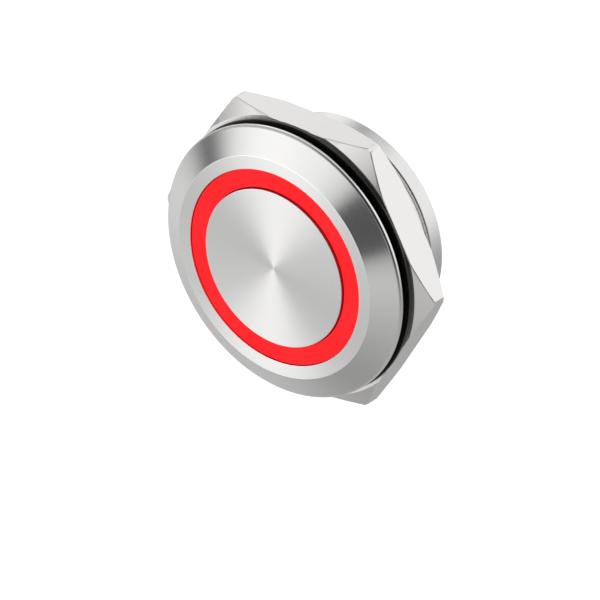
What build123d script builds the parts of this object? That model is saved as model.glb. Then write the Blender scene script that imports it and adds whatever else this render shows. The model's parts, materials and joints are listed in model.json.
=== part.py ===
from build123d import *
import math
import os

# A low-profile illuminated push button for a round panel hole, in millimetres.
# The origin is the centre of the bezel's back face, which seats on the panel.
# +Z points out of the panel, towards the finger, and the terminals point along -Z.
# Threads are plain cylinders at the thread's outer radius.

# ---------------------------------------------------------------- driving dimensions
# Front of the button
cap_diameter = 12.8          # the round plate that is pressed
cap_thickness = 0.9
cap_proud = 0.11             # cap's face above the bezel's face
cap_clearance = 0.06         # running clearance between the cap and the light ring
ring_width = 1.44            # radial width of the lit ring
ring_height = 1.65
ring_recess = 0.10           # ring's face below the bezel's face
press_travel = 0.30

# Housing
pocket_clearance = 0.05      # around the light ring
ledge_overlap = 0.45         # how far the inner lip reaches under the light ring
ledge_thickness = 0.70
barrel_wall = 1.50
bezel_overhang = 1.50        # bezel beyond the thread
bezel_chamfer_width = 1.98
bezel_chamfer_angle = 30.0
bezel_rim = 0.31             # straight edge behind the bezel's chamfer
bezel_edge_radius = 0.12
relief_width = 0.65          # groove where the thread ends
relief_depth = 0.90
band_length = 1.45           # plain band behind the thread
band_step = 0.70             # band's radius below the thread's
band_edge_radius = 0.15
thread_lead_in = 0.30
rear_rim = 0.40              # housing behind the potting

# Panel seal, washer and nut
seal_width = 1.00
seal_groove_depth = 0.35
seal_squeeze_height = 0.68   # seal standing out of the bezel's back
seal_corner = 0.25
seal_clearance = 0.03
thread_clearance = 0.05      # nut and washer over the thread
washer_thickness = 0.25
washer_width = 1.50
stack_gap = 0.02             # between seal and washer
nut_gap = 0.01               # between washer and nut
nut_wall = 1.50              # thread to the middle of a flat
nut_thickness = 2.60
nut_chamfer_start = 0.30     # chamfer's circle beyond the middle of a flat
nut_chamfer_angle = 30.0
nut_edge_radius = 0.20
nut_bore_chamfer = 0.35

# Plunger and light guide
peg_radius = 1.00            # plunger's peg, pressed into the cap's back
peg_length = 0.45
plunger_head_radius = 3.00
plunger_head_thickness = 0.40
plunger_radius = 1.50
plunger_tail = 0.38          # plunger below its clip
plunger_groove_depth = 0.40
guide_clearance = 0.05       # plunger in the hub, and guide in the lip
head_room = 0.26             # left under the plunger's head when pressed
guide_flange_thickness = 0.70
flange_clearance = 0.10
hub_wall = 1.25
stem_seal_width = 0.66
stem_seal_height = 0.53
stem_seal_recess = 0.60
stem_seal_clearance = 0.02
clip_gap = 0.02
clip_thickness = 0.20
clip_reach = 0.70            # clip beyond the plunger
clip_mouth = 1.60
spacer_gap = 0.10            # light guide's skirt to spacer ring

# Switch
switch_size = 5.20
switch_floor = 1.00          # base below the dome's seat
switch_pocket_radius = 2.15
switch_cover_thickness = 0.25
switch_peg_radius = 0.25
switch_peg_inset = 0.40
switch_peg_height = 0.35
stem_radius = 1.35
stem_clearance = 0.05
stem_flange_radius = 1.90
stem_flange_thickness = 0.20
stem_stop_gap = 0.02
stem_out = 0.85              # stem above the switch's cover
dome_thickness = 0.08
dome_clearance = 0.10
leg_width = 0.70
leg_thickness = 0.10
leg_standoff = 0.15          # leg's outer face beyond the base
leg_foot = 0.60              # foot's end beyond the base
leg_inset = 0.75             # leg's middle from the base's corner
centre_contact_radius = 0.60
centre_contact_depth = 0.25  # buried strip below the dome's seat
side_contact_overlap = 0.35  # pad under the dome's rim

# Circuit board and what is on it
board_thickness = 1.00
led_count = 6
led_length = 1.60
led_width = 0.80
led_base_height = 0.35
led_lens_height = 0.45
led_lens_length = 1.10
led_clearance = 0.12         # LED's corners to the spacer ring
led_to_guide = 0.30
resistor_length = 1.60
resistor_width = 0.80
resistor_height = 0.45
resistor_gap = 0.60          # switch's foot to resistor

# Terminals
pin_radius = 0.40            # free end, which takes a socket or a wire
pin_body_radius = 0.55       # stretch held by the board and the terminal base
pin_shoulder = 0.30          # body's end behind the terminal base
pin_spacing_x = 5.08
pin_setback = 1.21           # pin row from the switch's side
pin_hole_clearance = 0.05
pin_above_board = 0.40
pin_out = 3.40               # pin behind the housing
pin_tip_chamfer = 0.15
solder_radius = 0.90
solder_top_radius = 0.65
solder_height = 0.35
header_margin = 1.26         # terminal base around the pins' centres
header_height = 1.40
header_corner = 0.60
potting_depth = 1.20
potting_clearance = 0.02

# ---------------------------------------------------------------- derived radii
cap_radius = cap_diameter / 2
ring_inner = cap_radius + cap_clearance
ring_outer = ring_inner + ring_width
pocket_radius = ring_outer + pocket_clearance
ledge_radius = pocket_radius - ledge_overlap - pocket_clearance
bore_radius = pocket_radius + pocket_clearance
thread_radius = bore_radius + barrel_wall
bezel_radius = thread_radius + bezel_overhang
face_radius = bezel_radius - bezel_chamfer_width
relief_radius = thread_radius - relief_depth
band_radius = thread_radius - band_step
seal_inner = thread_radius + seal_clearance
seal_outer = seal_inner + seal_width
groove_outer = seal_outer + seal_clearance
nut_bore = thread_radius + thread_clearance
washer_outer = nut_bore + washer_width
flat_radius = thread_radius + nut_wall
corner_radius = flat_radius / math.cos(math.pi / 6)
flange_radius = bore_radius - flange_clearance
skirt_outer = ledge_radius - guide_clearance
spacer_inner = skirt_outer + spacer_gap
hub_radius = plunger_radius + hub_wall
stem_seal_inner = plunger_radius + stem_seal_clearance
stem_seal_outer = stem_seal_inner + stem_seal_width
led_reach = math.sqrt((spacer_inner - led_clearance) ** 2 - (led_length / 2) ** 2)
led_circle = led_reach - led_width / 2

# ---------------------------------------------------------------- derived heights
bezel_chamfer_height = bezel_chamfer_width * math.tan(math.radians(bezel_chamfer_angle))
bezel_top = bezel_rim + bezel_chamfer_height
cap_top = bezel_top + cap_proud
cap_bottom = cap_top - cap_thickness
ring_top = bezel_top - ring_recess
ledge_top = ring_top - ring_height
ledge_bottom = ledge_top - ledge_thickness
head_bottom = cap_bottom - plunger_head_thickness
hub_top = head_bottom - press_travel - head_room
guide_bottom = ledge_bottom - guide_flange_thickness
clip_top = guide_bottom - clip_gap
clip_bottom = clip_top - clip_thickness
plunger_bottom = clip_bottom - plunger_tail

dome_height = press_travel + dome_thickness
pocket_depth = stem_stop_gap + stem_flange_thickness + dome_height
base_height = switch_floor + pocket_depth
board_top = plunger_bottom - stem_out - switch_cover_thickness - base_height
base_top = board_top + base_height
seat_level = base_top - pocket_depth
cover_top = base_top + switch_cover_thickness
flange_top = base_top - stem_stop_gap
flange_bottom = flange_top - stem_flange_thickness
skirt_bottom = board_top + led_base_height + led_lens_height + led_to_guide

board_bottom = board_top - board_thickness
potting_bottom = board_bottom - potting_depth
header_bottom = board_bottom - header_height
housing_end = potting_bottom - rear_rim
band_top = housing_end + band_length
thread_end = band_top + relief_width
pin_end = housing_end - pin_out

seal_bottom = -seal_squeeze_height
washer_top = seal_bottom - stack_gap
washer_bottom = washer_top - washer_thickness
nut_top = washer_bottom - nut_gap
nut_bottom = nut_top - nut_thickness

# ---------------------------------------------------------------- derived places
switch_half = switch_size / 2
leg_y = switch_half - leg_inset
pin_x = pin_spacing_x / 2
pin_y = switch_half + pin_setback
resistor_x = switch_half + leg_foot + resistor_gap + resistor_width / 2


# ---------------------------------------------------------------- helpers
def disc(radius, low, high, x=0.0, y=0.0):
    """A round bar along Z from low to high."""
    return Pos(x, y, (low + high) / 2) * Cylinder(radius, high - low)


def ring(outer, inner, low, high):
    """A plain ring around Z."""
    return disc(outer, low, high) - disc(inner, low, high)


def block(x_low, x_high, y_low, y_high, low, high):
    """A box between six planes."""
    middle = Pos((x_low + x_high) / 2, (y_low + y_high) / 2, (low + high) / 2)
    return middle * Box(x_high - x_low, y_high - y_low, high - low)


def turned(*points):
    """A closed outline of (radius, height) points, turned around Z."""
    outline = Polyline(*[(radius, 0, height) for radius, height in points], close=True)
    return revolve(make_face(outline), Axis.Z, 360)


def circles(shape, radius, height):
    """The shape's circular edges of this radius at this height."""
    near = 1e-4
    round_edges = shape.edges().filter_by(GeomType.CIRCLE)
    return [
        edge
        for edge in round_edges
        if abs(edge.radius - radius) < near and abs(edge.center().Z - height) < near
    ]


def pin(x, y):
    """One round terminal with a shoulder and a chamfered tip."""
    bar = disc(pin_radius, pin_end, board_top + pin_above_board, x, y)
    bar += disc(pin_body_radius, header_bottom - pin_shoulder, board_top + pin_above_board, x, y)
    return chamfer(circles(bar, pin_radius, pin_end), pin_tip_chamfer)


# ---------------------------------------------------------------- front and housing
def make_housing():
    """Bezel, threaded barrel and inner lip, turned from one bar."""
    body = turned(
        (pocket_radius, bezel_top),
        (face_radius, bezel_top),
        (bezel_radius, bezel_rim),
        (bezel_radius, 0),
        (groove_outer, 0),
        (groove_outer, seal_groove_depth),
        (thread_radius, seal_groove_depth),
        (thread_radius, thread_end + thread_lead_in),
        (thread_radius - thread_lead_in, thread_end),
        (relief_radius, thread_end),
        (relief_radius, band_top),
        (band_radius, band_top),
        (band_radius, housing_end),
        (bore_radius, housing_end),
        (bore_radius, ledge_bottom),
        (ledge_radius, ledge_bottom),
        (ledge_radius, ledge_top),
        (pocket_radius, ledge_top),
    )
    body = fillet(circles(body, bezel_radius, bezel_rim), bezel_edge_radius)
    band_edges = circles(body, band_radius, band_top) + circles(body, band_radius, housing_end)
    return fillet(band_edges, band_edge_radius)


def make_press_cap():
    """The round plate under the finger, with a blind hole for the plunger's peg."""
    plate = disc(cap_radius, cap_bottom, cap_top)
    plate = chamfer(circles(plate, cap_radius, cap_top), cap_clearance)
    return plate - disc(peg_radius, cap_bottom, cap_bottom + peg_length)


def make_light_ring():
    """The red diffuser around the cap."""
    return ring(ring_outer, ring_inner, ledge_top, ring_top)


def make_light_guide():
    """Clear moulding: a skirt over the LEDs, a flange under the lip and a hub for the plunger."""
    skirt = ring(skirt_outer, ring_inner, skirt_bottom, ledge_top)
    flange = disc(flange_radius, guide_bottom, ledge_bottom)
    hub = disc(hub_radius, guide_bottom, hub_top)
    bore = disc(plunger_radius + guide_clearance, guide_bottom, hub_top)
    seal_seat = disc(stem_seal_outer, hub_top - stem_seal_recess, hub_top)
    return skirt + flange + hub - bore - seal_seat


def make_stem_seal():
    """Rubber ring that keeps water out along the plunger."""
    low = hub_top - stem_seal_recess + stack_gap
    seal = ring(stem_seal_outer, stem_seal_inner, low, low + stem_seal_height)
    rims = circles(seal, stem_seal_outer, low) + circles(seal, stem_seal_outer, low + stem_seal_height)
    return fillet(rims, stem_seal_width / 4)


def make_plunger():
    """Peg, head, shaft and clip groove, in one moulding."""
    body = disc(peg_radius, cap_bottom, cap_bottom + peg_length)
    body += disc(plunger_head_radius, head_bottom, cap_bottom)
    body += disc(plunger_radius, plunger_bottom, head_bottom)
    groove = ring(plunger_radius, plunger_radius - plunger_groove_depth, clip_bottom, clip_top)
    return body - groove


def make_plunger_clip():
    """Open retaining clip that stops the plunger from being pulled out."""
    inner = plunger_radius - plunger_groove_depth
    clip = ring(plunger_radius + clip_reach, inner, clip_bottom, clip_top)
    half = clip_mouth / 2
    return clip - block(0, plunger_radius + clip_reach, -half, half, clip_bottom, clip_top)


def make_spacer_ring():
    """White ring that holds the light guide and the circuit board apart."""
    return ring(flange_radius, spacer_inner, board_top, guide_bottom)


# ---------------------------------------------------------------- panel hardware
def make_panel_seal():
    """Rubber ring that is squeezed between the bezel and the panel."""
    seal = ring(seal_outer, seal_inner, seal_bottom, seal_groove_depth)
    rims = [
        edge
        for radius in (seal_inner, seal_outer)
        for height in (seal_bottom, seal_groove_depth)
        for edge in circles(seal, radius, height)
    ]
    return fillet(rims, seal_corner)


def make_washer():
    """Flat washer between the panel and the nut."""
    return ring(washer_outer, nut_bore, washer_bottom, washer_top)


def make_hex_nut():
    """Thin hexagon nut, chamfered on both faces and at both ends of its bore."""
    sides = RegularPolygon(corner_radius, 6, rotation=30)
    prism = Pos(0, 0, nut_bottom) * extrude(sides, nut_thickness)
    upright = prism.edges().filter_by(Axis.Z)
    prism = fillet(upright, nut_edge_radius)
    start = flat_radius + nut_chamfer_start
    drop = (corner_radius - start) * math.tan(math.radians(nut_chamfer_angle))
    envelope = turned(
        (0, nut_bottom),
        (start, nut_bottom),
        (corner_radius, nut_bottom + drop),
        (corner_radius, nut_top - drop),
        (start, nut_top),
        (0, nut_top),
    )
    bore = turned(
        (0, nut_bottom),
        (nut_bore + nut_bore_chamfer, nut_bottom),
        (nut_bore, nut_bottom + nut_bore_chamfer),
        (nut_bore, nut_top - nut_bore_chamfer),
        (nut_bore + nut_bore_chamfer, nut_top),
        (0, nut_top),
    )
    return (prism & envelope) - bore


# ---------------------------------------------------------------- switch
def make_centre_contact():
    """Contact under the middle of the dome, with two feet towards +X."""
    low = seat_level - centre_contact_depth - leg_thickness
    high = low + leg_thickness
    half = leg_width / 2
    bar_end = leg_y + half
    body = disc(centre_contact_radius, low, seat_level)
    body += block(0, switch_half, -half, half, low, high)
    body += block(switch_half - leg_width, switch_half, -bar_end, bar_end, low, high)
    return body + make_feet(high)


def make_side_contact():
    """Contact under the dome's rim, with two feet towards -X."""
    low = seat_level - leg_thickness
    bar_end = leg_y + leg_width / 2
    pad_start = switch_pocket_radius - dome_clearance - side_contact_overlap
    pad = block(pad_start, switch_half, -bar_end, bar_end, low, seat_level)
    return Rot(0, 0, 180) * (pad + make_feet(seat_level))


def make_feet(high):
    """Two bent legs from the side of the base down to the board."""
    outside = switch_half + leg_standoff
    feet = []
    for y in (-leg_y, leg_y):
        low_y = y - leg_width / 2
        high_y = y + leg_width / 2
        arm = block(switch_half, outside, low_y, high_y, high - leg_thickness, high)
        drop = block(outside - leg_thickness, outside, low_y, high_y, board_top, high)
        foot_end = switch_half + leg_foot
        foot = block(outside - leg_thickness, foot_end, low_y, high_y, board_top, board_top + leg_thickness)
        feet.append(arm + drop + foot)
    return feet[0] + feet[1]


def make_switch_contacts():
    return Compound(children=[make_centre_contact(), make_side_contact()])


def peg_places():
    inset = switch_half - switch_peg_inset
    return [(x, y) for x in (-inset, inset) for y in (-inset, inset)]


def make_switch_base():
    """Moulded base with the dome's pocket, buried contacts and four pegs for the cover."""
    half = switch_half
    body = block(-half, half, -half, half, board_top, base_top)
    body -= disc(switch_pocket_radius, seat_level, base_top)
    body = body - make_centre_contact() - make_side_contact()
    for x, y in peg_places():
        body += disc(switch_peg_radius, base_top, base_top + switch_peg_height, x, y)
    return body


def make_switch_cover():
    """Sheet cover that keeps the stem in."""
    half = switch_half
    plate = block(-half, half, -half, half, base_top, cover_top)
    plate -= disc(stem_radius + stem_clearance, base_top, cover_top)
    for x, y in peg_places():
        plate -= disc(switch_peg_radius, base_top, cover_top, x, y)
    return plate


def make_switch_stem():
    """Stem that the plunger pushes, with the flange that keeps it in the switch."""
    body = disc(stem_radius, flange_top, plunger_bottom)
    return body + disc(stem_flange_radius, flange_bottom, flange_top)


def make_snap_dome():
    """Domed metal disc that snaps down on the centre contact."""
    rim = switch_pocket_radius - dome_clearance
    radius = (rim ** 2 + dome_height ** 2) / (2 * dome_height)
    shell = Sphere(radius) - Sphere(radius - dome_thickness)
    shell = Pos(0, 0, flange_bottom - radius) * shell
    return shell & block(-radius, radius, -radius, radius, seat_level, base_top)


# ---------------------------------------------------------------- circuit board
def pin_places():
    return [(x, y) for x in (-pin_x, pin_x) for y in (-pin_y, pin_y)]


def make_circuit_board():
    """Round board, with a hole for each terminal."""
    board = disc(flange_radius, board_bottom, board_top)
    for x, y in pin_places():
        board -= disc(pin_body_radius + pin_hole_clearance, board_bottom, board_top, x, y)
    return board


def make_leds():
    """Surface-mounted LEDs in a circle under the light guide's skirt."""
    lens_base = board_top + led_base_height
    inner = led_circle - led_width / 2
    outer = led_circle + led_width / 2
    lens = led_lens_length / 2
    case = block(inner, outer, -led_length / 2, led_length / 2, board_top, lens_base)
    case += block(inner, outer, -lens, lens, lens_base, lens_base + led_lens_height)
    step = 360 / led_count
    return Compound(children=[Rot(0, 0, step * i) * case for i in range(led_count)])


def make_resistors():
    """Two chip resistors, one each side of the switch."""
    half_x = resistor_width / 2
    half_y = resistor_length / 2
    top = board_top + resistor_height
    chips = [
        block(x - half_x, x + half_x, -half_y, half_y, board_top, top)
        for x in (-resistor_x, resistor_x)
    ]
    return Compound(children=chips)


def make_solder_joints():
    """A cone of solder around each terminal, on the board's upper side."""
    top = board_top + solder_height
    cone = turned(
        (pin_body_radius, board_top),
        (solder_radius, board_top),
        (solder_top_radius, top),
        (pin_body_radius, top),
    )
    return Compound(children=[Pos(x, y, 0) * cone for x, y in pin_places()])


# ---------------------------------------------------------------- rear
def make_pin_pair(x):
    return Compound(children=[pin(x, -pin_y), pin(x, pin_y)])


def header_outline():
    half_x = pin_x + header_margin
    half_y = pin_y + header_margin
    body = block(-half_x, half_x, -half_y, half_y, header_bottom, board_bottom)
    return fillet(body.edges().filter_by(Axis.Z), header_corner)


def make_terminal_base():
    """Moulded block that holds the four terminals square."""
    body = header_outline()
    for x, y in pin_places():
        body -= disc(pin_body_radius, header_bottom, board_bottom, x, y)
    return body


def make_potting():
    """Resin that closes the back of the housing, around the terminal base."""
    fill = disc(bore_radius - potting_clearance, potting_bottom, board_bottom)
    return fill - header_outline()


pieces = {
    "housing": make_housing(),
    "press_cap": make_press_cap(),
    "light_ring": make_light_ring(),
    "light_guide": make_light_guide(),
    "stem_seal": make_stem_seal(),
    "plunger": make_plunger(),
    "plunger_clip": make_plunger_clip(),
    "spacer_ring": make_spacer_ring(),
    "panel_seal": make_panel_seal(),
    "washer": make_washer(),
    "hex_nut": make_hex_nut(),
    "switch_base": make_switch_base(),
    "switch_cover": make_switch_cover(),
    "switch_stem": make_switch_stem(),
    "snap_dome": make_snap_dome(),
    "switch_contacts": make_switch_contacts(),
    "circuit_board": make_circuit_board(),
    "leds": make_leds(),
    "resistors": make_resistors(),
    "solder_joints": make_solder_joints(),
    "contact_pins": make_pin_pair(pin_x),
    "lamp_pins": make_pin_pair(-pin_x),
    "terminal_base": make_terminal_base(),
    "potting": make_potting(),
}

os.makedirs("parts", exist_ok=True)
for node, shape in pieces.items():
    export_step(shape, f"parts/{node}.step")
print(f"bezel {2 * bezel_radius:.2f}, thread {2 * thread_radius:.2f}, flats {2 * flat_radius:.2f}")
print(f"top {cap_top:.3f}, nut {nut_top:.3f} to {nut_bottom:.3f}, thread end {thread_end:.3f}")
print(f"housing end {housing_end:.3f}, pin end {pin_end:.3f}, board top {board_top:.3f}")
print(f"stem flange {flange_bottom:.3f}, dome seat {seat_level:.3f}, pin y {pin_y:.3f}")
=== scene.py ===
# %% [markdown] A low-profile push button with a lit ring, as a lesson in cells. All lengths are in
# metres, and the origin is the centre of the bezel's back face, with +Z out of the panel.

# %% Load the frame
import bpy
import bmesh
import json
import math
from mathutils import Matrix, Vector


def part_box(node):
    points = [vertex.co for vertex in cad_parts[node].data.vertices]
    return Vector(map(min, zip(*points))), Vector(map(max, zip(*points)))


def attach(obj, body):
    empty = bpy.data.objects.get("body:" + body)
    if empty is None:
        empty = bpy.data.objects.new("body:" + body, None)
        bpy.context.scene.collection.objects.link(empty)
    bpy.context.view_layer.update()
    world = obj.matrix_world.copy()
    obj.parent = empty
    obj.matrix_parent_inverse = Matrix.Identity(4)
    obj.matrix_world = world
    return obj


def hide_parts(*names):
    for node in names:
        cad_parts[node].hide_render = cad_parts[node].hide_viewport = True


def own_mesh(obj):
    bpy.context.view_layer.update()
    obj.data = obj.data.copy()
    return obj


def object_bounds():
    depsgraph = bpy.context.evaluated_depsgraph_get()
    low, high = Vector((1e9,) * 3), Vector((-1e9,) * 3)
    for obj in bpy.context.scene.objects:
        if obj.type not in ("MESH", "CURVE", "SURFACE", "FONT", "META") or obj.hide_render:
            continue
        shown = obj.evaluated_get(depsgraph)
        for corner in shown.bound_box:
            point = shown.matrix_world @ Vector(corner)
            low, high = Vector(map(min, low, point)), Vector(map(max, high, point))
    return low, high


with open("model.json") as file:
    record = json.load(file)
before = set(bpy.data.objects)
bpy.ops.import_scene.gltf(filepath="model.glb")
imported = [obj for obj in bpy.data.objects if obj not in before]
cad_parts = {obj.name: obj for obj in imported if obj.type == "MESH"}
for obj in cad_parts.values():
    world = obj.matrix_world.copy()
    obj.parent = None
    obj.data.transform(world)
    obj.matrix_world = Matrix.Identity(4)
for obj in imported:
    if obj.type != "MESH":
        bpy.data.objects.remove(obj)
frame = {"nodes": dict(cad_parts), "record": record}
cad_box = [list(corner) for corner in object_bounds()]
MM = 0.001
print("CAD box", [[round(value / MM, 3) for value in corner] for corner in cad_box], "mm")

# %% [markdown]
# The camera looks down on the front from 43 degrees above the bezel's plane, rolled so that the
# button leans back to the upper right. A long lens from two metres keeps the circles nearly free of
# perspective, as a product picture does. Its direction is given as an azimuth from +X, an elevation
# and a roll, which read better than a matrix of nine numbers.

# %% Camera
VIEW_AZIMUTH = math.radians(73.6)
VIEW_ELEVATION = math.radians(43.015)
VIEW_ROLL = math.radians(237.57)
VIEW_DISTANCE = 2.0
VIEW_WIDTH = 44.50 * MM
AIM_RIGHT = 1.904 * MM
AIM_UP = -2.390 * MM
SENSOR_WIDTH = 36.0
NEAREST = 0.1
FURTHEST = 20.0


def level_view(azimuth, elevation):
    """Unit vectors to the right, up and back towards a camera with no roll."""
    back = Vector((math.cos(elevation) * math.cos(azimuth),
                   math.cos(elevation) * math.sin(azimuth), math.sin(elevation)))
    right = Vector((-math.sin(azimuth), math.cos(azimuth), 0.0))
    return right, back.cross(right), back


def make_camera():
    level_right, level_up, back = level_view(VIEW_AZIMUTH, VIEW_ELEVATION)
    right = math.cos(VIEW_ROLL) * level_right + math.sin(VIEW_ROLL) * level_up
    up = back.cross(right)
    data = bpy.data.cameras.new("camera")
    data.sensor_width = SENSOR_WIDTH
    data.lens = SENSOR_WIDTH * VIEW_DISTANCE / VIEW_WIDTH
    data.clip_start = NEAREST
    data.clip_end = FURTHEST
    face = Vector((0.0, 0.0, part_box("housing")[1].z))
    place = face + AIM_RIGHT * right + AIM_UP * up + back * VIEW_DISTANCE
    turn = Matrix((right, up, back)).transposed().to_4x4()
    camera = bpy.data.objects.new("camera", data)
    camera.matrix_world = Matrix.Translation(place) @ turn
    bpy.context.scene.collection.objects.link(camera)
    bpy.context.scene.camera = camera
    print("lens", round(data.lens), "mm, back", [round(value, 3) for value in back])


make_camera()

# %% [markdown]
# Shader maths is written as ordinary Python. `Signal` wraps one output socket of a node, and its
# operators add Math nodes to the same tree, so that `1.0 - mask` becomes a Subtract node. The
# reflected forms let a number come first.

# %% Signals
class Signal:
    """One output socket whose operators add Math nodes to its tree."""

    def __init__(self, finish, socket):
        self.finish = finish
        self.socket = socket

    def maths(self, operation, *values):
        settings = {"operation": operation}
        return self.finish.node("ShaderNodeMath", settings, dict(enumerate(values)))

    def __add__(self, other):
        return self.maths("ADD", self, other)

    def __radd__(self, other):
        return self.maths("ADD", other, self)

    def __sub__(self, other):
        return self.maths("SUBTRACT", self, other)

    def __rsub__(self, other):
        return self.maths("SUBTRACT", other, self)

    def __mul__(self, other):
        return self.maths("MULTIPLY", self, other)

    def __rmul__(self, other):
        return self.maths("MULTIPLY", other, self)

    def __truediv__(self, other):
        return self.maths("DIVIDE", self, other)

    def __rtruediv__(self, other):
        return self.maths("DIVIDE", other, self)

    def __pow__(self, other):
        return self.maths("POWER", self, other)

    def __rpow__(self, other):
        return self.maths("POWER", other, self)

    def sine(self):
        return self.maths("SINE", self)

    def exponential(self):
        return self.maths("EXPONENT", self)

    def at_least(self, least):
        return self.maths("MAXIMUM", self, least)

    def between(self, low, high):
        """0 below low, 1 above high and a smooth rise between them."""
        settings = {"interpolation_type": "SMOOTHSTEP"}
        sockets = {"Value": self, "From Min": low, "From Max": high}
        return self.finish.node("ShaderNodeMapRange", settings, sockets)


print("a Signal has", ", ".join(name for name in vars(Signal) if not name.startswith("__")))

# %% [markdown]
# `Finish` is one material's node tree. Its method `node` makes any node from a type, its settings
# and its sockets, and the small methods after it name the nodes that most finishes use. Numbers
# that are the same all over a surface go straight onto the shader's own sockets.

# %% Finishes
NOISE_ROUGHNESS = 0.55
MIX_FACTOR, MIX_FIRST, MIX_SECOND, MIX_RESULT = 0, 6, 7, 2


class Finish:
    """A node tree, for a material or the world."""

    def __init__(self, name, owner=None):
        self.material = owner or bpy.data.materials.new(name)
        self.material.use_nodes = True
        self.tree = self.material.node_tree
        self.tree.nodes.clear()

    def node(self, kind, settings=None, sockets=None, output=0):
        """Adds a node. Its settings come first, because some of them change its sockets."""
        made = self.tree.nodes.new(kind)
        for name, value in (settings or {}).items():
            setattr(made, name, value)
        for name, value in (sockets or {}).items():
            if isinstance(value, Signal):
                self.tree.links.new(value.socket, made.inputs[name])
            else:
                made.inputs[name].default_value = value
        return Signal(self, made.outputs[output]) if made.outputs else made

    def place(self):
        """The point on the piece, in metres."""
        return self.node("ShaderNodeTexCoord", output="Object")

    def apart(self, vector):
        """A vector's X, Y and Z as three signals."""
        first = self.node("ShaderNodeSeparateXYZ", {}, {"Vector": vector})
        return [Signal(self, socket) for socket in first.socket.node.outputs]

    def radius(self):
        """Distance from the button's axis, in metres."""
        x, y, _ = self.apart(self.place())
        return (x * x + y * y) ** 0.5

    def noise(self, scale, detail=4.0, vector=None):
        source = self.place() if vector is None else vector
        sockets = {"Vector": source, "Scale": scale, "Detail": detail,
                   "Roughness": NOISE_ROUGHNESS}
        return self.node("ShaderNodeTexNoise", {}, sockets)

    def mix(self, factor, first, second):
        """A colour between two colours."""
        sockets = {MIX_FACTOR: factor, MIX_FIRST: first, MIX_SECOND: second}
        return self.node("ShaderNodeMix", {"data_type": "RGBA"}, sockets, output=MIX_RESULT)

    def bump(self, height, distance):
        return self.node("ShaderNodeBump", {}, {"Height": height, "Distance": distance})

    def surface(self, **sockets):
        """The Principled shader and the output. Names use _ for a space."""
        named = {name.replace("_", " "): value for name, value in sockets.items()}
        shader = self.node("ShaderNodeBsdfPrincipled", {}, named)
        self.node("ShaderNodeOutputMaterial", {}, {"Surface": shader})
        return self.material


def grey(value, tint=(1.0, 1.0, 1.0)):
    return tuple(value * part for part in tint) + (1.0,)


print("a Finish has", ", ".join(name for name in vars(Finish) if not name.startswith("__")))

# %% [markdown]
# Polished metal shows nothing but what is around it, so the studio is most of the picture. The
# camera sees plain white, while reflections see a pale room: a wide window overhead, a smaller
# bright one behind the button, and dark flags between them that give the chamfer its contrast. The
# room and the ceiling towards the camera are unlit, which draws the dark line along the bezel's
# outer edge. Each is a smooth lobe about a direction, so that no light has a hard edge.

# %% World
BUTTON_TURN = Matrix.Rotation(VIEW_AZIMUTH - math.pi / 2, 3, "Z")
ROOM_LEVEL = 0.45
LOBES = {
    # name: direction with Y towards the camera's side, sharpness, change in brightness
    "wide window overhead": ((-0.39, 0.39, 0.84), 4.5, 0.55),
    "bright window behind": ((-0.29, -0.47, 0.83), 15.0, 1.78),
    "small window at the right": ((0.54, 0.29, 0.79), 10.0, 0.22),
    "flag over the camera": ((0.09, 0.21, 0.97), 48.0, -1.80),
    "narrow flag at the left": ((-0.63, -0.70, 0.33), 52.0, -0.57),
    "soft flag at the back": ((0.19, -0.77, 0.61), 10.0, -0.43),
    "low lamp at the back": ((-0.18, -0.96, 0.20), 9.0, 0.32),
}
DARKEST = 0.08
UNLIT_SIDES = {
    # name: direction, sharpness, part of the light that is lost
    "unlit room at the right": ((0.50, 0.80, 0.28), 4.5, 0.95),
    "unlit room at the left": ((-0.50, 0.82, 0.25), 4.5, 0.85),
    "unlit room ahead": ((0.0, 0.95, 0.22), 9.0, 0.85),
    "unlit ceiling ahead": ((0.0, 0.80, 0.60), 12.0, 0.92),
}


def in_button_frame(direction):
    """Turns a direction given from the camera's side into the button's own frame."""
    return BUTTON_TURN @ Vector(direction).normalized()


def make_world():
    world = bpy.data.worlds.new("studio")
    bpy.context.scene.world = world
    sky = Finish("studio", world)
    towards = sky.node("ShaderNodeTexCoord", output="Generated")

    def lobe(direction, sharpness):
        """1 in this direction, falling smoothly to 0 around it."""
        dot = sky.node("ShaderNodeVectorMath", {"operation": "DOT_PRODUCT"},
                       {0: towards, 1: in_button_frame(direction)}, output="Value")
        return ((dot - 1.0) * sharpness).exponential()

    level = ROOM_LEVEL
    for direction, sharpness, change in LOBES.values():
        level = level + lobe(direction, sharpness) * change
    level = level.at_least(DARKEST)
    for direction, sharpness, lost in UNLIT_SIDES.values():
        level = level * (1.0 - lobe(direction, sharpness) * lost)
    seen = sky.node("ShaderNodeLightPath", output="Is Camera Ray")
    level = level * (1.0 - seen) + seen
    shade = sky.node("ShaderNodeBackground", {}, {"Color": grey(1.0), "Strength": level})
    sky.node("ShaderNodeOutputWorld", {}, {"Surface": shade})
    print("world with", ", ".join([*LOBES, *UNLIT_SIDES]))


make_world()

# %% [markdown]
# The floor is a pale sheet of paper well below the button, so that its soft shadow falls outside
# the view. It glows, with painted light and shade in its glow: in reflections it is brighter
# towards the left and front, with painted soft shadows, which shade the nut's flats and the rear
# band. The camera sees it as plain white. From below it is clear, so that it never hides the
# button.

# %% Floor
FLOOR_DROP = 0.30
FLOOR_HALF = 0.62
FLOOR_DIM = 0.40
FLOOR_BRIGHT = 0.98
FLOOR_SEEN = 1.1
FLOOR_PAINTED_BRIGHT_SIDE = (-0.6, 0.8, 0.0)
FLOOR_FADE = (-0.28, 0.12)
# Painted soft shadows in the floor's glow, cast by nothing in the scene.
FLOOR_PAINTED_SHADOWS = (
    # place towards the right and front, size, depth
    (-0.305, 0.10, 0.060, 0.88),
    (-0.24, 0.21, 0.060, 0.45),
    (0.32, 0.09, 0.110, 0.30),
)
FIBRE_SCALE = 60.0
FIBRE_DEPTH = 0.04


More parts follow.
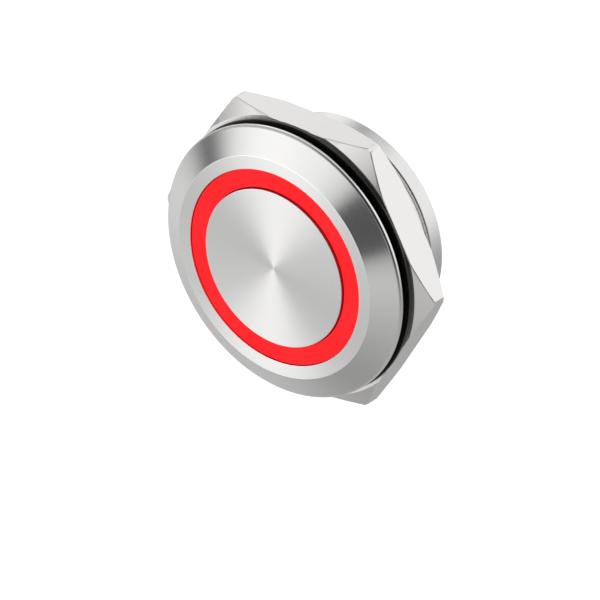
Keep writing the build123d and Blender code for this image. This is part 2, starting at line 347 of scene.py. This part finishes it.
def floor_paper():
    paper = Finish("floor_paper")
    x, y, _ = paper.apart(paper.place())
    painted_bright_side = in_button_frame(FLOOR_PAINTED_BRIGHT_SIDE)
    # Painted light: the glow is brighter towards one side, as if a lamp stood there.
    fade = (x * painted_bright_side.x + y * painted_bright_side.y).between(*FLOOR_FADE)
    fibre = paper.noise(FIBRE_SCALE) * FIBRE_DEPTH + (1.0 - FIBRE_DEPTH / 2)
    level = (fade * (FLOOR_BRIGHT - FLOOR_DIM) + FLOOR_DIM) * fibre
    for right, front, size, depth in FLOOR_PAINTED_SHADOWS:
        middle = BUTTON_TURN @ Vector((right, front, 0.0))
        distance = (x - middle.x) ** 2.0 + (y - middle.y) ** 2.0
        shadow = (distance * (-0.5 / size ** 2)).exponential()
        level = level * (1.0 - shadow * depth)
    seen = paper.node("ShaderNodeLightPath", output="Is Camera Ray")
    level = level * (1.0 - seen) + seen * FLOOR_SEEN
    shade = paper.node("ShaderNodeEmission", {}, {"Color": grey(1.0), "Strength": level})
    under = paper.node("ShaderNodeNewGeometry", output="Backfacing")
    clear = paper.node("ShaderNodeBsdfTransparent")
    both = paper.node("ShaderNodeMixShader", {}, {0: under, 1: shade, 2: clear})
    paper.node("ShaderNodeOutputMaterial", {}, {"Surface": both})
    return paper.material


def make_floor():
    height = cad_box[0][2] - FLOOR_DROP
    sheet = bmesh.new()
    bmesh.ops.create_grid(sheet, x_segments=1, y_segments=1, size=FLOOR_HALF)
    bmesh.ops.translate(sheet, verts=sheet.verts, vec=(0.0, 0.0, height))
    mesh = bpy.data.meshes.new("floor")
    sheet.to_mesh(mesh)
    sheet.free()
    mesh.materials.append(floor_paper())
    floor = bpy.data.objects.new("floor", mesh)
    bpy.context.scene.collection.objects.link(floor)
    print("floor at", round(height / MM), "mm")


make_floor()

# %% [markdown]
# One large soft lamp gives the rubber and the plastics their shape. It is hidden from reflections,
# where its edge would show. The Standard view transform keeps white as white.

# %% Lamp
LAMP_DIRECTION = (-0.55, 0.25, 0.80)
LAMP_DISTANCE = 1.2
LAMP_SIZE = 0.7
LAMP_POWER = 2.2


def make_lamp():
    data = bpy.data.lights.new("soft_lamp", "AREA")
    data.size = LAMP_SIZE
    data.energy = LAMP_POWER
    lamp = bpy.data.objects.new("soft_lamp", data)
    direction = in_button_frame(LAMP_DIRECTION)
    lamp.location = direction * LAMP_DISTANCE
    lamp.visible_glossy = False
    lamp.rotation_mode = "QUATERNION"
    lamp.rotation_quaternion = direction.to_track_quat("Z", "Y")
    bpy.context.scene.collection.objects.link(lamp)
    print("lamp of", LAMP_POWER, "W,", LAMP_DISTANCE, "m away")


make_lamp()
bpy.context.scene.view_settings.view_transform = "Standard"

# %% [markdown]
# A turned piece is an outline spun about Z, as a lathe would cut it. After the spin the doubles on
# the axis and the seam are merged and the normals recalculated, because a spin can turn a shape
# inside out. Its corners are then broken with a bevel, which is also how a lathe hand finishes an
# edge.

# %% Turned shapes
TURN_STEPS = 192
MERGE = 0.0005 * MM
ON_CIRCLE = 0.004 * MM


def spun(outline):
    """A closed bmesh from a closed outline of (radius, height) points."""
    shape = bmesh.new()
    points = [shape.verts.new((radius, 0.0, height)) for radius, height in outline]
    edges = [shape.edges.new((points[i - 1], point)) for i, point in enumerate(points)]
    bmesh.ops.spin(shape, geom=points + edges, cent=(0, 0, 0), axis=(0, 0, 1), dvec=(0, 0, 0),
                   angle=2 * math.pi, steps=TURN_STEPS, use_merge=True, use_duplicate=False)
    bmesh.ops.remove_doubles(shape, verts=shape.verts, dist=MERGE)
    on_axis = [edge for edge in shape.edges if not edge.link_faces]
    bmesh.ops.delete(shape, geom=on_axis, context="EDGES")
    bmesh.ops.recalc_face_normals(shape, faces=shape.faces)
    return shape


def bevelled(shape, edges, width, segments, clamp=True):
    bmesh.ops.bevel(shape, geom=edges, offset=width, offset_type="OFFSET", segments=segments,
                    profile=0.5, affect="EDGES", material=-1, clamp_overlap=clamp)


def on_circle(vert, radius, height):
    reach = math.hypot(vert.co.x, vert.co.y)
    return abs(reach - radius) < ON_CIRCLE and abs(vert.co.z - height) < ON_CIRCLE


def round_rim(shape, radius, height, width, segments):
    """Bevels the circular edge at this radius and height."""
    rim = [edge for edge in shape.edges
           if all(on_circle(vert, radius, height) for vert in edge.verts)]
    bevelled(shape, rim, width, segments)


print("turned shapes have", TURN_STEPS, "steps")

# %% [markdown] Every piece ends the same way. Faces that meet at a clear angle keep a sharp edge in
# the shading, and so does a wide face beside a narrow bevel, because a smoothed normal there would
# bend the wide face's reflections.

# %% Finished pieces
SHARP = math.radians(28)
FLAT_TO_BEVEL = math.radians(4)
WIDE_TO_NARROW = 6.0
BODIES = frame["record"]["behaviour"]["bodies"]
NODE_BODY = {node: body for body, nodes in BODIES.items() for node in nodes}


def corner_shows(edge):
    """True at a clear angle, and where a wide face meets a narrow one."""
    angle = edge.calc_face_angle(0.0)
    areas = sorted(face.calc_area() for face in edge.link_faces)
    return angle > SHARP or (angle > FLAT_TO_BEVEL and areas[1] > WIDE_TO_NARROW * areas[0])


def finished(shape, name, node, finish, *more_finishes):
    """Makes the object, shades it, puts it on its CAD node's body and hides that node."""
    for edge in shape.edges:
        edge.smooth = len(edge.link_faces) == 2 and not corner_shows(edge)
    for face in shape.faces:
        face.smooth = True
    open_edges = sum(len(edge.link_faces) != 2 for edge in shape.edges)
    mesh = bpy.data.meshes.new(name)
    shape.to_mesh(mesh)
    shape.free()
    for material in (finish, *more_finishes):
        mesh.materials.append(material)
    piece = bpy.data.objects.new(name, mesh)
    bpy.context.scene.collection.objects.link(piece)
    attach(piece, NODE_BODY[node])
    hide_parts(node)
    print(name, len(mesh.polygons), "faces,", open_edges, "open edges")
    return piece


# %% [markdown]
# Turned stainless steel. The tool leaves rings about the axis, so the roughness varies with the
# radius and the surface is anisotropic along the rings: on a flat face that gives the fans of light
# that open from the centre. A tangent node set to radial about Z gives the direction of the rings,
# and a rotation of a quarter turn spreads the light across them. The bezel's chamfer is polished
# over them, so its reflections stay clear. The barrel is left as turned. The washer is made nearly
# black and the cap's wall darker, both as painted shade for the gaps they face.

# %% Steel finishes
STEEL = (1.0, 0.992, 0.985)
WASHER_SHADE_TINT = (1.0, 0.95, 0.88)
ACROSS_RINGS = 0.25
RING_DETAIL = 3.0
RING_DEEP, RING_HIGH = 0.975, 1.02
SMEAR_SCALE = 420.0
SMEAR_SHARE = 0.5


def turned_steel(name, pitch, roughness, spread, height, anisotropic, brightness=0.90, tint=STEEL):
    """The rings' pitch and height are in millimetres."""
    metal = Finish(name)
    radius = metal.radius()
    _, _, level = metal.apart(metal.place())
    along = metal.node("ShaderNodeCombineXYZ", {}, {
        "X": radius / (pitch * MM), "Y": level / (pitch * MM), "Z": 0.0})
    rings = metal.noise(1.0, RING_DETAIL, along)
    smears = metal.noise(SMEAR_SCALE, RING_DETAIL)
    deep, high = grey(brightness * RING_DEEP, tint), grey(brightness * RING_HIGH, tint)
    rough = roughness + (rings - 0.5) * spread + (smears - 0.5) * (spread * SMEAR_SHARE)
    tangent = metal.node("ShaderNodeTangent", {"direction_type": "RADIAL", "axis": "Z"})
    return metal.surface(Base_Color=metal.mix(rings, deep, high), Metallic=1.0, Roughness=rough,
                         Anisotropic=anisotropic, Anisotropic_Rotation=ACROSS_RINGS,
                         Tangent=tangent, Normal=metal.bump(rings, height * MM))


polished_steel = turned_steel("polished_steel", 0.09, 0.16, 0.05, 0.0002, 0.80)
brushed_steel = turned_steel("brushed_steel", 0.05, 0.34, 0.06, 0.0006, 0.92)
barrel_steel = turned_steel("barrel_steel", 0.07, 0.24, 0.08, 0.0008, 0.60, 0.88)
# Painted shade: the washer's steel is nearly black, standing for the shade between bezel and nut.
washer_shade_steel = turned_steel("washer_shade_steel", 0.06, 0.32, 0.10, 0.0012, 0.60, 0.09, WASHER_SHADE_TINT)
# Painted shade: the cap's wall is darker, standing for the shade in the gap around the cap.
cap_wall_shade_steel = turned_steel("cap_wall_shade_steel", 0.06, 0.30, 0.08, 0.001, 0.60, 0.36)
print("turned finishes:", polished_steel.name, brushed_steel.name, barrel_steel.name,
      washer_shade_steel.name, cap_wall_shade_steel.name)

# %% [markdown]
# The nut is milled and tumbled: it has no rings, only a fine random grain and slow clouds in its
# gloss. The same recipe with another tint gives the spring steel, the silver and gold plate and the
# solder, since all of them are bare metal with a fine grain.

# %% Plain metals
GRAIN_SCALE = 9000.0
GRAIN_SPREAD = 0.10
CLOUD_SCALE = 300.0
CLOUD_SPREAD = 0.06
CLOUD_DEEP, CLOUD_HIGH = 0.97, 1.02


def grained_metal(name, brightness, roughness, tint, height=0.0006):
    """The grain's height is in millimetres."""
    metal = Finish(name)
    grain = metal.noise(GRAIN_SCALE, detail=2.0)
    cloud = metal.noise(CLOUD_SCALE, detail=4.0)
    deep, high = grey(brightness * CLOUD_DEEP, tint), grey(brightness * CLOUD_HIGH, tint)
    rough = roughness + (grain - 0.5) * GRAIN_SPREAD + (cloud - 0.5) * CLOUD_SPREAD
    return metal.surface(Base_Color=metal.mix(cloud, deep, high), Metallic=1.0, Roughness=rough,
                         Normal=metal.bump(grain, height * MM))


nut_steel = grained_metal("nut_steel", 0.95, 0.30, (1.0, 0.988, 0.978), 0.0002)
spring_steel = grained_metal("spring_steel", 0.62, 0.30, (0.97, 0.98, 1.0))
silver_plate = grained_metal("silver_plate", 0.88, 0.20, (1.0, 0.985, 0.95))
solder_metal = grained_metal("solder_metal", 0.76, 0.24, (0.98, 0.99, 1.0), 0.003)
gold_plate = grained_metal("gold_plate", 0.90, 0.20, (1.0, 0.76, 0.38))
print("plain metals:", nut_steel.name, spring_steel.name, silver_plate.name, solder_metal.name,
      gold_plate.name)

# %% [markdown]
# The lit ring is a red diffuser with LEDs behind it. It looks flat and evenly bright, so nearly all
# its colour comes from emission, with a faint swell over each LED. The glow covers the face and its
# rounded rims. The walls below them glow a dark red instead: painted shade, which leaves a thin
# dark line along each gap.

# %% Lit ring
LED_COUNT = 6
RING_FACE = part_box("light_ring")[1].z
RING_RIM = 0.04 * MM
GLOW_FADE = 0.05 * MM
GLOW_BETWEEN_LEDS = (0.96, 0.009, 0.013, 1.0)
GLOW_OVER_LEDS = (1.0, 0.016, 0.021, 1.0)
GLOW_STRENGTH = 0.97
PAINTED_GAP_SHADE = (0.06, 0.0, 0.0, 1.0)
DIFFUSER_RED = (0.30, 0.004, 0.005, 1.0)
DIFFUSER_ROUGHNESS, DIFFUSER_SPREAD = 0.30, 0.1
DIFFUSER_SHINE = 0.12
DIFFUSER_SCALE = 900.0


def lit_red():
    red = Finish("lit_red")
    x, y, height = red.apart(red.place())
    angle = red.node("ShaderNodeMath", {"operation": "ARCTAN2"}, {0: y, 1: x})
    swell = (angle * float(LED_COUNT)).sine() * 0.5 + 0.5
    cloud = red.noise(DIFFUSER_SCALE, detail=2.0)
    glow = red.mix(swell * 0.5 + cloud * 0.5, GLOW_BETWEEN_LEDS, GLOW_OVER_LEDS)
    # Painted shade: below the face and its rims the glow turns to a dark red, so each gap reads
    # dark.
    face = height.between(RING_FACE - RING_RIM - GLOW_FADE, RING_FACE - RING_RIM)
    rough = DIFFUSER_ROUGHNESS + (cloud - 0.5) * DIFFUSER_SPREAD
    return red.surface(Base_Color=DIFFUSER_RED, Roughness=rough,
                       Emission_Color=red.mix(face, PAINTED_GAP_SHADE, glow),
                       Emission_Strength=GLOW_STRENGTH, Specular_IOR_Level=DIFFUSER_SHINE)


red_glow = lit_red()
print("ring face at", round(RING_FACE / MM, 3), "mm")

# %% [markdown]
# Rubber and moulded plastics have a fine spark-eroded grain and a slow drift in gloss and tone. One
# recipe makes them all, from a colour, a roughness and the grain's height. The clear ones let light
# through, and the cast resin has a coarser grain.

# %% Rubber and plastics
DEEP_TONE = 0.82
SPARK_SCALE = 2500.0
SPARK_SPREAD = 0.08
DRIFT_SCALE = 250.0
DRIFT_SPREAD = 0.12


def moulded(name, colour, roughness, height, shine=0.5, clear=0.0, scale=SPARK_SCALE):
    """The grain's height is in millimetres."""
    skin = Finish(name)
    grain = skin.noise(scale, detail=3.0)
    drift = skin.noise(DRIFT_SCALE, detail=2.0)
    tint = skin.mix(drift, grey(DEEP_TONE, colour), grey(1.0, colour))
    rough = roughness + (drift - 0.5) * DRIFT_SPREAD + (grain - 0.5) * SPARK_SPREAD
    return skin.surface(Base_Color=tint, Roughness=rough, Specular_IOR_Level=shine,
                        Transmission_Weight=clear, Normal=skin.bump(grain, height * MM))


black_rubber = moulded("black_rubber", (0.010, 0.010, 0.010), 0.45, 0.003, shine=0.35)
white_acetal = moulded("white_acetal", (0.82, 0.82, 0.79), 0.42, 0.002)
black_nylon = moulded("black_nylon", (0.022, 0.022, 0.024), 0.48, 0.004)
ivory_nylon = moulded("ivory_nylon", (0.66, 0.61, 0.49), 0.45, 0.004)
clear_plastic = moulded("clear_plastic", (0.92, 0.94, 0.95), 0.12, 0.0003, clear=0.85)
led_resin = moulded("led_resin", (0.90, 0.86, 0.72), 0.25, 0.0005, clear=0.3)
chip_ceramic = moulded("chip_ceramic", (0.03, 0.03, 0.034), 0.30, 0.001)
black_resin = moulded("black_resin", (0.012, 0.012, 0.013), 0.20, 0.012, scale=500.0)
print("rubber and plastics:", black_rubber.name, white_acetal.name, black_nylon.name,
      ivory_nylon.name, clear_plastic.name, led_resin.name, chip_ceramic.name, black_resin.name)

# %% [markdown]
# The circuit board is green solder mask over copper. Two sine waves crossed and cut at one level
# give rows of tracks, which show through the mask as a lighter green and stand up a little.

# %% Circuit board
TRACK_PITCH = 1.27 * MM
TRACK_BEND = 3.81 * MM
TRACK_HEIGHT = 0.02 * MM
BEND_SHARE = 0.6
TRACK_CUT = (0.35, 0.45)
MASK_GREEN = (0.010, 0.075, 0.030, 1.0)
TRACK_GREEN = (0.022, 0.150, 0.050, 1.0)
WEAVE_SCALE = 3000.0
BOARD_ROUGHNESS, BOARD_SPREAD = 0.32, 0.1


def board_laminate():
    board = Finish("board_laminate")
    x, y, _ = board.apart(board.place())
    across = (x * (2 * math.pi / TRACK_PITCH)).sine()
    along = (y * (2 * math.pi / TRACK_BEND)).sine()
    tracks = (across + along * BEND_SHARE).between(*TRACK_CUT)
    weave = board.noise(WEAVE_SCALE, detail=1.0)
    rough = BOARD_ROUGHNESS + (weave - 0.5) * BOARD_SPREAD
    return board.surface(Base_Color=board.mix(tracks, MASK_GREEN, TRACK_GREEN), Roughness=rough,
                         Normal=board.bump(tracks, TRACK_HEIGHT))


green_board = board_laminate()
print("tracks every", round(TRACK_PITCH / MM, 2), "mm")

# %% [markdown]
# The housing is one turned bar: bezel, threaded barrel and a plain band behind it. The CAD node
# keeps the thread as a plain cylinder, so this piece replaces it. The bar is spun from its outline
# at the thread's root. Three finishes share it, each set on faces by their place: the front face is
# brushed, the chamfer and rim are polished, and the barrel and band are left as turned.

# %% Housing bar
housing_low, housing_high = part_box("housing")
seal_low, seal_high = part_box("panel_seal")
ring_low, ring_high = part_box("light_ring")
THREAD_PITCH = 1.0 * MM
THREAD_RADIUS = 9.48 * MM
CORE_RADIUS = 8.94 * MM
THREAD_END = -5.50 * MM
BAND_TOP = -6.147 * MM
RELIEF_RADIUS = 8.60 * MM
BAND_RADIUS = 8.80 * MM
BEZEL_RADIUS = housing_high.x
BEZEL_RIM = 0.31 * MM
FACE_RADIUS = BEZEL_RADIUS - 1.98 * MM
GROOVE_RADIUS = seal_high.x + 0.03 * MM
GROOVE_TOP = seal_high.z
POCKET_RADIUS = ring_high.x + 0.05 * MM
BORE_RADIUS = POCKET_RADIUS + 0.05 * MM
LEDGE_RADIUS = POCKET_RADIUS - 0.50 * MM
LEDGE_TOP = ring_low.z
LEDGE_BOTTOM = LEDGE_TOP - 0.70 * MM
BAR_ROUNDS = (
    # radius, height, width in millimetres, steps
    (BEZEL_RADIUS, BEZEL_RIM, 0.15, 5),
    (BEZEL_RADIUS, 0.0, 0.05, 3),
    (FACE_RADIUS, housing_high.z, 0.01, 1),
    (POCKET_RADIUS, housing_high.z, 0.03, 2),
    (BAND_RADIUS, BAND_TOP, 0.38, 6),
    (BAND_RADIUS, housing_low.z, 0.15, 4),
    (BORE_RADIUS, housing_low.z, 0.10, 2),
)
SAME_LEVEL = 0.001 * MM
FACE_FINISH = 1
BARREL_FINISH = 2


def housing_bar():
    front, back = housing_high.z, housing_low.z
    bar = spun([
        (POCKET_RADIUS, front), (FACE_RADIUS, front), (BEZEL_RADIUS, BEZEL_RIM),
        (BEZEL_RADIUS, 0.0), (GROOVE_RADIUS, 0.0), (GROOVE_RADIUS, GROOVE_TOP),
        (CORE_RADIUS, GROOVE_TOP), (CORE_RADIUS, THREAD_END), (RELIEF_RADIUS, THREAD_END),
        (RELIEF_RADIUS, BAND_TOP), (BAND_RADIUS, BAND_TOP), (BAND_RADIUS, back),
        (BORE_RADIUS, back), (BORE_RADIUS, LEDGE_BOTTOM), (LEDGE_RADIUS, LEDGE_BOTTOM),
        (LEDGE_RADIUS, LEDGE_TOP), (POCKET_RADIUS, LEDGE_TOP),
    ])
    for radius, height, width, steps in BAR_ROUNDS:
        round_rim(bar, radius, height, width * MM, steps)
    for face in bar.faces:
        middle = face.calc_center_median()
        if middle.z > front - SAME_LEVEL:
            face.material_index = FACE_FINISH
        elif middle.z < SAME_LEVEL:
            face.material_index = BARREL_FINISH
    print("bar of", len(bar.faces), "faces")
    return bar


bar = housing_bar()

# %% [markdown]
# A thread is a ridge along a helix. One flat section is spun about the axis, and the spin climbs
# one pitch in each turn through its dvec. The barrel and the nut each get a ridge, half a pitch
# apart, so that they mesh with a little clearance at any angle. A ridge's ends are run out by
# holding its points to a limiting radius, which is what a lead-in chamfer does to a real thread.

# %% Threads
THREAD_STEPS = 96
THREAD_START = 0.10 * MM
RIDGE_SINK = 0.03 * MM


def helix_ridge(section, origin, first_turn, last_turn):
    """A closed right-hand ridge, its middle at origin less a pitch a turn.

    The section is its root's and crest's radius and half their widths.
    """
    root, crest, half_root, half_crest = section
    outline = [(root, -half_root), (crest, -half_crest), (crest, half_crest), (root, half_root)]
    angle = -2 * math.pi * first_turn
    height = origin - THREAD_PITCH * first_turn
    turns = last_turn - first_turn
    ridge = bmesh.new()
    corners = [ridge.verts.new((radius * math.cos(angle), radius * math.sin(angle), height + rise))
               for radius, rise in outline]
    bmesh.ops.spin(ridge, geom=[ridge.faces.new(corners)], cent=(0, 0, 0), axis=(0, 0, -1),
                   dvec=(0, 0, -THREAD_PITCH / THREAD_STEPS), angle=2 * math.pi * turns,
                   steps=round(THREAD_STEPS * turns), use_merge=False, use_duplicate=False)
    bmesh.ops.remove_doubles(ridge, verts=ridge.verts, dist=MERGE)
    bmesh.ops.recalc_face_normals(ridge, faces=ridge.faces)
    return ridge


def hold_radius(shape, least, most):
    """Moves each point in or out to between least(height) and most(height) from the axis."""
    for vert in shape.verts:
        radius = math.hypot(vert.co.x, vert.co.y)
        held = min(max(radius, least(vert.co.z)), most(vert.co.z))
        vert.co.xy *= held / radius


def joined(*shapes):
    """Several bmeshes as one."""
    whole = bmesh.new()
    for shape in shapes:
        mesh = bpy.data.meshes.new("part")
        shape.to_mesh(mesh)
        shape.free()
        whole.from_mesh(mesh)
        bpy.data.meshes.remove(mesh)
    return whole


print("thread of", round(THREAD_PITCH / MM, 2), "mm pitch,", THREAD_STEPS, "steps a turn")

# %% [markdown]
# The barrel's ridge starts at the bezel's back, behind the seal, and runs out at the thread's end,
# where its crest falls at 45 degrees until it is just inside the core. The ridge's root is let into
# the core a little, so that the two overlap.

# %% Housing
BARREL_TURNS = 5.6
BARREL_ROOT = CORE_RADIUS - RIDGE_SINK
BARREL_HALF_ROOT = 0.42 * MM
BARREL_HALF_CREST = 0.07 * MM
BARREL_RIDGE = (BARREL_ROOT, THREAD_RADIUS, BARREL_HALF_ROOT, BARREL_HALF_CREST)
RUNOUT_TOP = THREAD_END + 0.56 * MM
RUNOUT_STOP = THREAD_END + 0.02 * MM
RUNOUT_RADIUS = CORE_RADIUS - 0.02 * MM


def runout(height):
    """The largest radius of the barrel's ridge at this height."""
    return max(RUNOUT_RADIUS, THREAD_RADIUS - max(0.0, RUNOUT_TOP - height))


def make_housing():
    ridge = helix_ridge(BARREL_RIDGE, THREAD_START, 0.0, BARREL_TURNS)
    hold_radius(ridge, lambda height: BARREL_ROOT, runout)
    for vert in ridge.verts:
        vert.co.z = max(vert.co.z, RUNOUT_STOP)
    for face in ridge.faces:
        face.material_index = BARREL_FINISH
    finished(joined(bar, ridge), "housing_turned", "housing", polished_steel, brushed_steel,
             barrel_steel)


make_housing()

# %% [markdown]
# The cap is a plain disc with its rim just broken, and its look is all in the finish. Its outline
# follows the CAD node, with the blind hole for the plunger's peg at the back. Its upright walls
# are made darker as painted shade, so that the gap around it reads dark.

# %% Cap
cap_low, cap_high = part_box("press_cap")
PEG_RADIUS = 1.0 * MM
PEG_DEPTH = 0.45 * MM
CAP_RIM = 0.04 * MM
UPRIGHT_WALL = 0.3
GAP_SHADE_FINISH = 1


def make_cap():
    peg_top = cap_low.z + PEG_DEPTH
    disc = spun([(0.0, cap_high.z), (cap_high.x, cap_high.z), (cap_high.x, cap_low.z),
                 (PEG_RADIUS, cap_low.z), (PEG_RADIUS, peg_top), (0.0, peg_top)])
    round_rim(disc, cap_high.x, cap_high.z, CAP_RIM, 3)
    disc.normal_update()
    # The upright walls get the darker steel, painted shade for the gap around the cap.
    for face in disc.faces:
        if abs(face.normal.z) < UPRIGHT_WALL:
            face.material_index = GAP_SHADE_FINISH
    finished(disc, "press_cap_turned", "press_cap", brushed_steel, cap_wall_shade_steel)


make_cap()

# %% [markdown]
# The light ring is a plain band with eased rims. It leaves the same gap to the cap all round, so
# that the cap moves without touching it.

# %% Light ring
CAP_GAP = 0.06 * MM


def make_ring():
    inner = cap_high.x + CAP_GAP
    band = spun([(inner, ring_high.z), (ring_high.x, ring_high.z), (ring_high.x, ring_low.z),
                 (inner, ring_low.z)])
    for radius in (inner, ring_high.x):
        round_rim(band, radius, ring_high.z, RING_RIM, 2)
    finished(band, "light_ring_diffuser", "light_ring", red_glow)


make_ring()

# %% [markdown]
# The panel seal is a rubber ring with a rounded section, and the washer is a thin turned ring of
# steel with broken edges, made nearly black as painted shade for the gap between bezel and nut.
# Both are spun like the housing.

# %% Seal and washer
washer_low, washer_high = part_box("washer")
BORE_CLEAR = 9.55 * MM
WASHER_RIM = 0.04 * MM
SEAL_INNER = 9.53 * MM
SEAL_CORNER = 0.25 * MM


def make_seal():
    seal = spun([(SEAL_INNER, seal_low.z), (seal_high.x, seal_low.z), (seal_high.x, seal_high.z),
                 (SEAL_INNER, seal_high.z)])
    for radius in (SEAL_INNER, seal_high.x):
        for height in (seal_low.z, seal_high.z):
            round_rim(seal, radius, height, SEAL_CORNER, 6)
    finished(seal, "panel_seal_ring", "panel_seal", black_rubber)


def make_washer():
    washer = spun([(BORE_CLEAR, washer_low.z), (washer_high.x, washer_low.z),
                   (washer_high.x, washer_high.z), (BORE_CLEAR, washer_high.z)])
    for height in (washer_low.z, washer_high.z):
        round_rim(washer, washer_high.x, height, WASHER_RIM, 2)
    finished(washer, "washer_turned", "washer", washer_shade_steel)


make_seal()
make_washer()

# %% [markdown]
# The nut starts as a turned blank with a cone on each face, and six flats are cut from it with
# bisect_plane, each cut closed with one flat face. That gives the curved edge where a cone meets a
# flat, and a narrow round strip at each corner, with no curves to work out. The edges are then
# broken with a small bevel, which catches the light as a thin line along the chamfers.

# %% Nut body
nut_low, nut_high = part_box("hex_nut")
NUT_SIDES = 6
NUT_CONE = math.radians(30)
FLAT_RADIUS = 11.0 * MM
NUT_BLANK = 12.60 * MM
CHAMFER_START = FLAT_RADIUS + 0.30 * MM
CHAMFER_DROP = (NUT_BLANK - CHAMFER_START) * math.tan(NUT_CONE)
BORE_CHAMFER = 0.35 * MM
NUT_EASE = 0.045 * MM
NUT_CORNER = math.radians(20)
CUT_SNAP = 0.001 * MM
CUT_MERGE = 0.02 * MM
UPRIGHT_FLAT = 0.01
ON_FLAT = 0.002 * MM


def nut_blank():
    top, bottom = nut_high.z, nut_low.z
    mouth = BORE_CLEAR + BORE_CHAMFER
    return spun([(mouth, top), (CHAMFER_START, top), (NUT_BLANK, top - CHAMFER_DROP),
                 (NUT_BLANK, bottom + CHAMFER_DROP), (CHAMFER_START, bottom), (mouth, bottom),
                 (BORE_CLEAR, bottom + BORE_CHAMFER), (BORE_CLEAR, top - BORE_CHAMFER)])


def cut_flats(nut):
    for side in range(NUT_SIDES):
        angle = side * 2 * math.pi / NUT_SIDES
        out = Vector((math.cos(angle), math.sin(angle), 0.0))
        bmesh.ops.bisect_plane(nut, geom=nut.verts[:] + nut.edges[:] + nut.faces[:],
                               dist=CUT_SNAP, plane_co=out * FLAT_RADIUS, plane_no=out,
                               clear_outer=True)
        rim = [edge for edge in nut.edges if edge.is_boundary]
        bmesh.ops.holes_fill(nut, edges=rim, sides=0)
    bmesh.ops.remove_doubles(nut, verts=nut.verts, dist=CUT_MERGE)
    bmesh.ops.recalc_face_normals(nut, faces=nut.faces)
    nut.normal_update()


def on_flat(face):
    reach = max(face.normal.dot(loop.vert.co) for loop in face.loops)
    return abs(face.normal.z) < UPRIGHT_FLAT and abs(reach - FLAT_RADIUS) < ON_FLAT


def nut_body():
    body = nut_blank()
    cut_flats(body)
    rims = [edge for edge in body.edges if sum(on_flat(face) for face in edge.link_faces) == 1
            and edge.calc_face_angle(0.0) > NUT_CORNER]
    bevelled(body, rims, NUT_EASE, 2, clamp=False)
    print(len(rims), "nut edges broken")
    return body


nut = nut_body()

# %% [markdown]
# The nut's own thread ridge lies half a pitch from the barrel's. Near both faces of the nut its
# points are held further from the axis, so that it leads in and out as a tapped hole does.

# %% Nut
NUT_CREST = 9.05 * MM
NUT_HALF_ROOT = 0.40 * MM
NUT_HALF_CREST = 0.05 * MM
NUT_RIDGE = (BORE_CLEAR + RIDGE_SINK, NUT_CREST, NUT_HALF_ROOT, NUT_HALF_CREST)
NUT_RIDGE_LIMIT = BORE_CLEAR + 0.04 * MM
NUT_FIRST_TURN, NUT_LAST_TURN = 1.0, 2.75
LEAD_IN = 0.70 * MM
LEAD_SLOPE = 2.0


def lead_in(height):
    """The smallest radius of the nut's ridge at this height."""
    past = max(0.0, height - nut_high.z + LEAD_IN, nut_low.z + LEAD_IN - height)
    return NUT_CREST + LEAD_SLOPE * past


def make_nut():
    ridge = helix_ridge(NUT_RIDGE, THREAD_START - THREAD_PITCH / 2, NUT_FIRST_TURN, NUT_LAST_TURN)
    hold_radius(ridge, lead_in, lambda height: NUT_RIDGE_LIMIT)
    finished(joined(nut, ridge), "hex_nut_milled", "hex_nut", nut_steel)


make_nut()

# %% [markdown]
# The pieces inside and at the back keep their CAD shapes. Each is a merged copy with its sharp
# edges broken by a width that suits its size, since nothing moulded or stamped has a perfect edge,
# and each has its own finish.

# %% Inner and rear pieces
CAD_MERGE = 0.002 * MM
SLIVER = CAD_MERGE / 4
COPLANAR = math.radians(0.5)
EASED_CORNER = math.radians(35)
NODE_FINISH = {
    # node: finish, width of its broken edges in millimetres
    "light_guide": (clear_plastic, 0.05),
    "stem_seal": (black_rubber, 0.0),
    "plunger": (white_acetal, 0.05),
    "plunger_clip": (spring_steel, 0.02),
    "spacer_ring": (white_acetal, 0.05),
    "switch_base": (black_nylon, 0.05),
    "switch_cover": (spring_steel, 0.03),
    "switch_stem": (black_nylon, 0.04),
    "snap_dome": (silver_plate, 0.0),
    "switch_contacts": (silver_plate, 0.0),
    "circuit_board": (green_board, 0.04),
    "leds": (led_resin, 0.03),
    "resistors": (chip_ceramic, 0.03),
    "solder_joints": (solder_metal, 0.0),
    "contact_pins": (gold_plate, 0.02),
    "lamp_pins": (gold_plate, 0.02),
    "terminal_base": (ivory_nylon, 0.10),
    "potting": (black_resin, 0.0),
}


def from_cad(node):
    """A merged copy of a CAD node's mesh, for a piece whose shape is already right."""
    shape = bmesh.new()
    shape.from_mesh(frame["nodes"][node].data)
    bmesh.ops.remove_doubles(shape, verts=shape.verts, dist=CAD_MERGE)
    bmesh.ops.dissolve_degenerate(shape, edges=shape.edges, dist=SLIVER)
    return shape


def ease_edges(shape, width):
    """Joins flat triangles into whole faces, then breaks every sharp edge."""
    bmesh.ops.dissolve_limit(shape, angle_limit=COPLANAR, verts=shape.verts, edges=shape.edges)
    edges = [edge for edge in shape.edges
             if len(edge.link_faces) == 2 and edge.calc_face_angle(0.0) > EASED_CORNER]
    bevelled(shape, edges, width, 2)


inner_pieces = {}
for node, (finish, ease) in NODE_FINISH.items():
    shape = from_cad(node)
    if ease:
        ease_edges(shape, ease * MM)
    inner_pieces[node] = finished(shape, node + "_piece", node, finish)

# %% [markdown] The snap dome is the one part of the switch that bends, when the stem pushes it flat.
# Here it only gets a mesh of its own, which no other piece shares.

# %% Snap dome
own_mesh(inner_pieces["snap_dome"])
